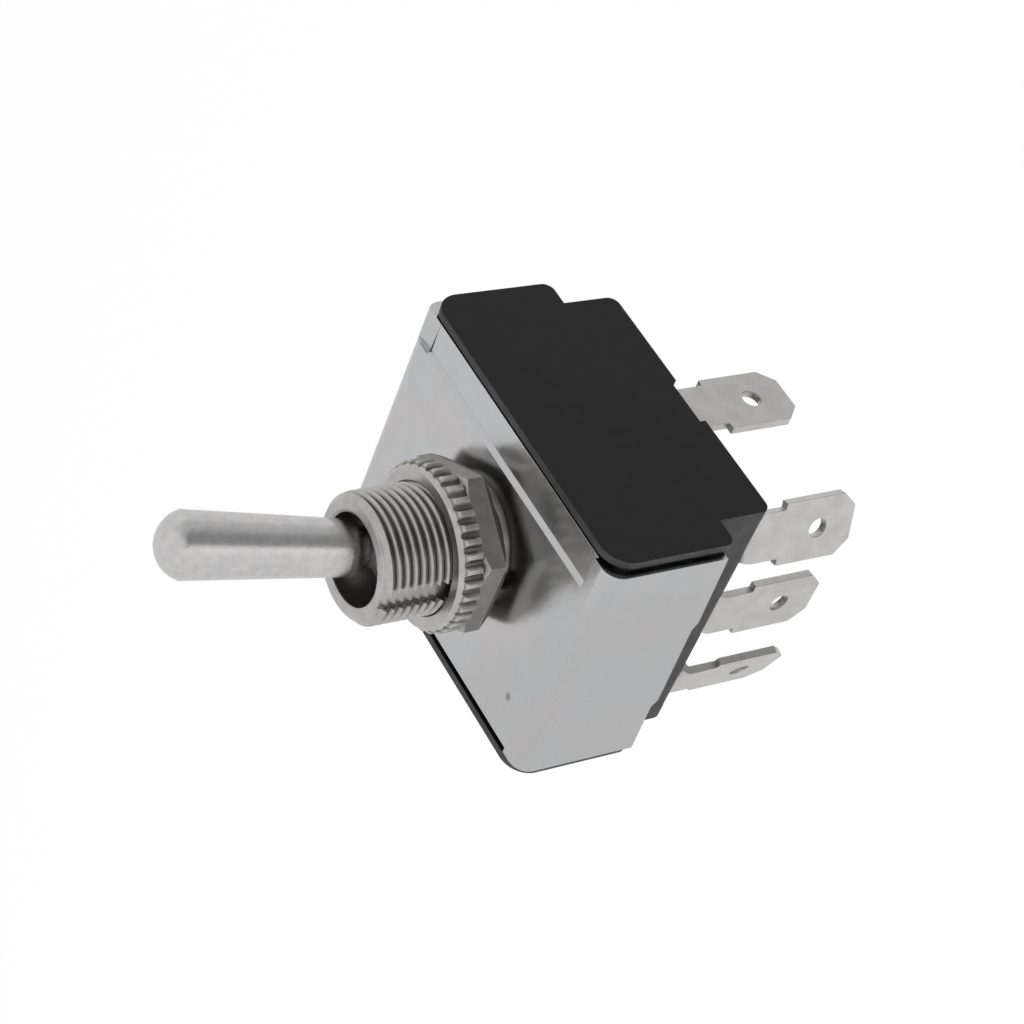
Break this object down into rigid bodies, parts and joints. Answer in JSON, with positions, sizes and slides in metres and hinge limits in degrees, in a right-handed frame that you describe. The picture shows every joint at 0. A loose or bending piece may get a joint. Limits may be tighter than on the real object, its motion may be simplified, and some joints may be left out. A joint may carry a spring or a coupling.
{
  "type": "panel toggle switch",
  "caption": "Panel toggle switch: bat lever in a threaded bushing with hex and knurled nuts, steel frame round a black case, push-on tabs behind.",
  "frame": {"origin": "on the bushing's axis, at the front face of the steel frame", "axes": "+Z along the bushing, towards the lever's tip; the lever swings in the XZ plane and rests tilted to -X, on the side away from the end tabs; +Y towards the end plate beside common tab 1"},
  "size_m": [0.0342, 0.0276, 0.0586],
  "materials": {
    "zinc_steel": "bright zinc plate, half gloss",
    "nickel_bushing": "nickel plate, satin on the face",
    "nickel_nut": "nickel plate",
    "nickel_knurl": "nickel plate",
    "satin_nickel": "satin nickel",
    "pin_steel": "plain steel",
    "black_phenolic": "satin moulding",
    "grey_nylon": "natural nylon",
    "tan_nylon": "moulded",
    "spring_steel": "drawn wire",
    "contact_brass": "plain",
    "silver_contact": "silver faced",
    "rivet_brass": "plain",
    "tab_plate": "satin tin plate over brass"
  },
  "bodies": {
    "housing": {"steel_frame": "zinc_steel", "bushing": "nickel_bushing", "hex_nut": "nickel_nut", "knurled_nut": "nickel_knurl", "pivot_pin": "pin_steel", "case": "black_phenolic", "fulcrum_1": "contact_brass", "fulcrum_2": "contact_brass", "fulcrum_3": "contact_brass", "common_rivet_1": "rivet_brass", "common_rivet_2": "rivet_brass", "common_rivet_3": "rivet_brass", "fixed_contact_1": "silver_contact", "fixed_contact_2": "silver_contact", "fixed_contact_3": "silver_contact", "common_terminal_1": "tab_plate", "common_terminal_2": "tab_plate", "common_terminal_3": "tab_plate", "end_terminal_1": "tab_plate", "end_terminal_2": "tab_plate", "end_terminal_3": "tab_plate"},
    "lever": {"toggle_lever": "satin_nickel", "actuator": "grey_nylon", "plunger_1": "tan_nylon", "plunger_2": "tan_nylon", "plunger_3": "tan_nylon", "plunger_spring_1": "spring_steel", "plunger_spring_2": "spring_steel", "plunger_spring_3": "spring_steel"},
    "arm_1": {"contact_arm_1": "contact_brass", "moving_contact_1": "silver_contact"},
    "arm_2": {"contact_arm_2": "contact_brass", "moving_contact_2": "silver_contact"},
    "arm_3": {"contact_arm_3": "contact_brass", "moving_contact_3": "silver_contact"}
  },
  "joints": [
    {"name": "lever_tilt", "type": "hinge", "parent": "housing", "child": "lever", "pos_m": [0, 0, 0.0061], "axis": [0, 1, 0], "range_deg": [0, 27]},
    {"name": "arm_1_rock", "type": "hinge", "parent": "housing", "child": "arm_1", "pos_m": [0, 0.0082, -0.01328], "axis": [0, 1, 0], "range_deg": [-15.6, 0]},
    {"name": "arm_2_rock", "type": "hinge", "parent": "housing", "child": "arm_2", "pos_m": [0, 0, -0.01328], "axis": [0, 1, 0], "range_deg": [-15.6, 0]},
    {"name": "arm_3_rock", "type": "hinge", "parent": "housing", "child": "arm_3", "pos_m": [0, -0.0082, -0.01328], "axis": [0, 1, 0], "range_deg": [-15.6, 0]}
  ],
  "couplings": [
    {"joint": "arm_1_rock", "follows": "lever_tilt", "ratio": -0.57778},
    {"joint": "arm_2_rock", "follows": "lever_tilt", "ratio": -0.57778},
    {"joint": "arm_3_rock", "follows": "lever_tilt", "ratio": -0.57778}
  ]
}
